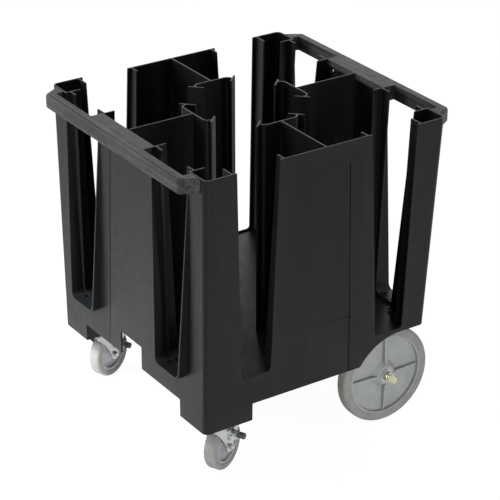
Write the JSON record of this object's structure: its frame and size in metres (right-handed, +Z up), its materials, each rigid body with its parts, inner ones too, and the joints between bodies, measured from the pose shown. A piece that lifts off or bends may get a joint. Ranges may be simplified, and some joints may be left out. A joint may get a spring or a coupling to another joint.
{
  "type": "plate_dispenser_cart",
  "caption": "Plate dispenser cart with four slotted plate columns, end handles, two large wheels on an axle and two swivel casters with brakes",
  "frame": {"origin": "floor level under the middle of the cart's length and width", "axes": "+Z up, +X towards the large wheels, +Y towards the left side"},
  "size_m": [0.754, 0.696, 0.806],
  "materials": {
    "body_plastic": "moulded, fine grain",
    "handle_plastic": "moulded, coarse grain",
    "wheel_plastic": "moulded",
    "tyre_rubber": "non-marking grey",
    "bushing_plastic": "moulded",
    "knob_plastic": "moulded",
    "zinc_steel": "bright zinc plate",
    "yellow_zinc": "yellow zinc plate"
  },
  "bodies": {
    "chassis": {"base_tub": "body_plastic", "right_caster_leg": "body_plastic", "left_caster_leg": "body_plastic", "right_axle_hanger": "body_plastic", "left_axle_hanger": "body_plastic", "right_divider": "body_plastic", "left_divider": "body_plastic", "caster_end_divider": "body_plastic", "wheel_end_divider": "body_plastic", "right_post_caster_end": "body_plastic", "left_post_caster_end": "body_plastic", "right_post_wheel_end": "body_plastic", "left_post_wheel_end": "body_plastic", "caster_end_handle": "handle_plastic", "wheel_end_handle": "handle_plastic", "handle_screws": "zinc_steel", "axle": "yellow_zinc", "caster_plate_bolts": "zinc_steel", "caster_plate_nuts": "zinc_steel", "right_axle_washers": "zinc_steel", "right_axle_nut": "yellow_zinc", "right_axle_spacer": "zinc_steel", "right_caster_plate": "zinc_steel", "right_caster_kingpin": "zinc_steel", "right_caster_balls": "zinc_steel", "left_axle_washers": "zinc_steel", "left_axle_nut": "yellow_zinc", "left_axle_spacer": "zinc_steel", "left_caster_plate": "zinc_steel", "left_caster_kingpin": "zinc_steel", "left_caster_balls": "zinc_steel"},
    "right_wheel": {"right_wheel_hub": "wheel_plastic", "right_wheel_tyre": "tyre_rubber", "right_wheel_bushing": "bushing_plastic"},
    "right_caster": {"right_caster_fork": "zinc_steel", "right_caster_sleeve": "zinc_steel", "right_caster_axle_bolt": "zinc_steel", "right_caster_axle_nut": "zinc_steel", "right_caster_brake_pivot": "zinc_steel"},
    "right_caster_wheel": {"right_caster_wheel_core": "wheel_plastic", "right_caster_wheel_tyre": "tyre_rubber"},
    "right_brake": {"right_caster_brake_lever": "zinc_steel", "right_caster_brake_shoe": "tyre_rubber", "right_caster_brake_knobs": "knob_plastic"},
    "left_wheel": {"left_wheel_hub": "wheel_plastic", "left_wheel_tyre": "tyre_rubber", "left_wheel_bushing": "bushing_plastic"},
    "left_caster": {"left_caster_fork": "zinc_steel", "left_caster_sleeve": "zinc_steel", "left_caster_axle_bolt": "zinc_steel", "left_caster_axle_nut": "zinc_steel", "left_caster_brake_pivot": "zinc_steel"},
    "left_caster_wheel": {"left_caster_wheel_core": "wheel_plastic", "left_caster_wheel_tyre": "tyre_rubber"},
    "left_brake": {"left_caster_brake_lever": "zinc_steel", "left_caster_brake_shoe": "tyre_rubber", "left_caster_brake_knobs": "knob_plastic"}
  },
  "joints": [
    {"name": "right_wheel_spin", "type": "hinge", "parent": "chassis", "child": "right_wheel", "pos_m": [0.218, -0.282, 0.127], "axis": [0, 1, 0], "continuous": true},
    {"name": "right_caster_swivel", "type": "hinge", "parent": "chassis", "child": "right_caster", "pos_m": [-0.27, -0.273, 0.138], "axis": [0, 0, 1], "continuous": true},
    {"name": "right_caster_roll", "type": "hinge", "parent": "right_caster", "child": "right_caster_wheel", "pos_m": [-0.23764, -0.25722, 0.0625], "axis": [-0.4384, 0.8988, 0], "continuous": true},
    {"name": "right_brake_press", "type": "hinge", "parent": "right_caster", "child": "right_brake", "pos_m": [-0.22554, -0.27746, 0.088], "axis": [-0.4384, 0.8988, 0], "range_deg": [0, 15]},
    {"name": "left_wheel_spin", "type": "hinge", "parent": "chassis", "child": "left_wheel", "pos_m": [0.218, 0.282, 0.127], "axis": [0, 1, 0], "continuous": true},
    {"name": "left_caster_swivel", "type": "hinge", "parent": "chassis", "child": "left_caster", "pos_m": [-0.27, 0.273, 0.138], "axis": [0, 0, 1], "continuous": true},
    {"name": "left_caster_roll", "type": "hinge", "parent": "left_caster", "child": "left_caster_wheel", "pos_m": [-0.23662, 0.28649, 0.0625], "axis": [-0.3746, 0.9272, 0], "continuous": true},
    {"name": "left_brake_press", "type": "hinge", "parent": "left_caster", "child": "left_brake", "pos_m": [-0.22596, 0.26545, 0.088], "axis": [-0.3746, 0.9272, 0], "range_deg": [0, 15]}
  ]
}
